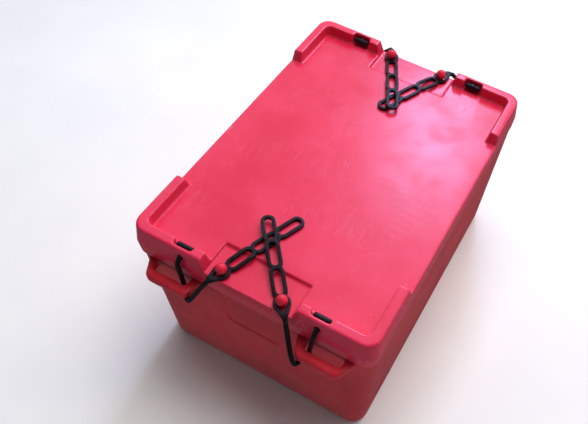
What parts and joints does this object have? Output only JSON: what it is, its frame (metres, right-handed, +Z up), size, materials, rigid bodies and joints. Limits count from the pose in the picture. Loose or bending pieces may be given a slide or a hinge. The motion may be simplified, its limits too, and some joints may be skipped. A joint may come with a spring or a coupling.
{
  "type": "insulated tote with strapped lid",
  "caption": "Insulated double-wall plastic tote with a lift-off lid, held down at each end by crossed rubber ladder straps on ball buttons.",
  "frame": {"origin": "centre of the base's underside", "axes": "+Z up, +Y along the length towards the rear end, +X to the right seen from the front"},
  "size_m": [0.47, 0.7388, 0.38],
  "materials": {
    "box_plastic": "moulded, satin, scuffed",
    "lid_plastic": "moulded, satin, fine scratches",
    "button_plastic": "smooth",
    "rubber": "satin",
    "foam": "closed-cell foam",
    "brass": "turned",
    "steel": "threaded stud"
  },
  "bodies": {
    "box": {"box_skin": "box_plastic", "box_foam_core": "foam", "box_fill_plug_front": "box_plastic", "box_fill_plug_rear": "box_plastic"},
    "lid": {"lid_skin": "lid_plastic", "lid_foam_core": "foam", "lid_fill_plug_front": "lid_plastic", "lid_fill_plug_rear": "lid_plastic", "ball_button_front_left": "button_plastic", "button_stud_front_left": "steel", "button_insert_front_left": "brass", "strap_front_left_tether": "rubber", "ball_button_front_right": "button_plastic", "button_stud_front_right": "steel", "button_insert_front_right": "brass", "strap_front_right_tether": "rubber", "ball_button_rear_left": "button_plastic", "button_stud_rear_left": "steel", "button_insert_rear_left": "brass", "strap_rear_left_tether": "rubber", "ball_button_rear_right": "button_plastic", "button_stud_rear_right": "steel", "button_insert_rear_right": "brass", "strap_rear_right_tether": "rubber"},
    "strap_front_left_tail": {"strap_front_left_tail": "rubber"},
    "strap_front_left_ladder": {"strap_front_left_ladder": "rubber"},
    "strap_front_right_tail": {"strap_front_right_tail": "rubber"},
    "strap_front_right_ladder": {"strap_front_right_ladder": "rubber"},
    "strap_rear_left_tail": {"strap_rear_left_tail": "rubber"},
    "strap_rear_left_ladder": {"strap_rear_left_ladder": "rubber"},
    "strap_rear_right_tail": {"strap_rear_right_tail": "rubber"},
    "strap_rear_right_ladder": {"strap_rear_right_ladder": "rubber"}
  },
  "joints": [
    {"name": "lid_lift", "type": "slide", "parent": "box", "child": "lid", "axis": [0, 0, 1], "range_m": [0, 0.2], "deforming": ["strap_front_left_tether", "strap_front_right_tether", "strap_rear_left_tether", "strap_rear_right_tether"]},
    {"name": "front_left_release", "type": "hinge", "parent": "lid", "child": "strap_front_left_tail", "pos_m": [-0.1155, -0.3595, 0.2832], "axis": [0.971, -0.1478, -0.1879], "range_deg": [0, 135.19], "deforming": ["strap_front_left_tether", "strap_front_left_tail"]},
    {"name": "front_left_ladder_drop", "type": "hinge", "parent": "strap_front_left_tail", "child": "strap_front_left_ladder", "pos_m": [-0.06936, -0.33884, 0.354], "axis": [0.982, -0.1242, -0.1421], "range_deg": [0, 119.42], "deforming": ["strap_front_left_ladder"]},
    {"name": "front_right_release", "type": "hinge", "parent": "lid", "child": "strap_front_right_tail", "pos_m": [0.1155, -0.3595, 0.2832], "axis": [0.9719, 0.173, 0.1598], "range_deg": [0, 153.82], "deforming": ["strap_front_right_tether", "strap_front_right_tail"]},
    {"name": "front_right_ladder_drop", "type": "hinge", "parent": "strap_front_right_tail", "child": "strap_front_right_ladder", "pos_m": [0.07834, -0.3334, 0.354], "axis": [0.9451, 0.3268, 0.0023], "range_deg": [0, 99.21], "deforming": ["strap_front_right_ladder"]},
    {"name": "rear_left_release", "type": "hinge", "parent": "lid", "child": "strap_rear_left_tail", "pos_m": [-0.1155, 0.3595, 0.2832], "axis": [-0.9566, -0.2092, 0.2028], "range_deg": [0, 150.55], "deforming": ["strap_rear_left_tether", "strap_rear_left_tail"]},
    {"name": "rear_left_ladder_drop", "type": "hinge", "parent": "strap_rear_left_tail", "child": "strap_rear_left_ladder", "pos_m": [-0.07207, 0.33762, 0.354], "axis": [-0.9652, -0.1923, 0.1772], "range_deg": [0, 103.07], "deforming": ["strap_rear_left_ladder"]},
    {"name": "rear_right_release", "type": "hinge", "parent": "lid", "child": "strap_rear_right_tail", "pos_m": [0.1155, 0.3595, 0.2832], "axis": [-0.953, 0.2169, -0.2117], "range_deg": [0, 150.05], "deforming": ["strap_rear_right_tether", "strap_rear_right_tail"]},
    {"name": "rear_right_ladder_drop", "type": "hinge", "parent": "strap_rear_right_tail", "child": "strap_rear_right_ladder", "pos_m": [0.07061, 0.33832, 0.354], "axis": [-0.9636, 0.1632, -0.2116], "range_deg": [0, 104.19], "deforming": ["strap_rear_right_ladder"]}
  ],
  "couplings": [
    {"joint": "front_left_ladder_drop", "follows": "front_left_release", "ratio": 0.8832},
    {"joint": "front_right_ladder_drop", "follows": "front_right_release", "ratio": 0.64485},
    {"joint": "rear_left_ladder_drop", "follows": "rear_left_release", "ratio": 0.68449},
    {"joint": "rear_right_ladder_drop", "follows": "rear_right_release", "ratio": 0.69424}
  ]
}
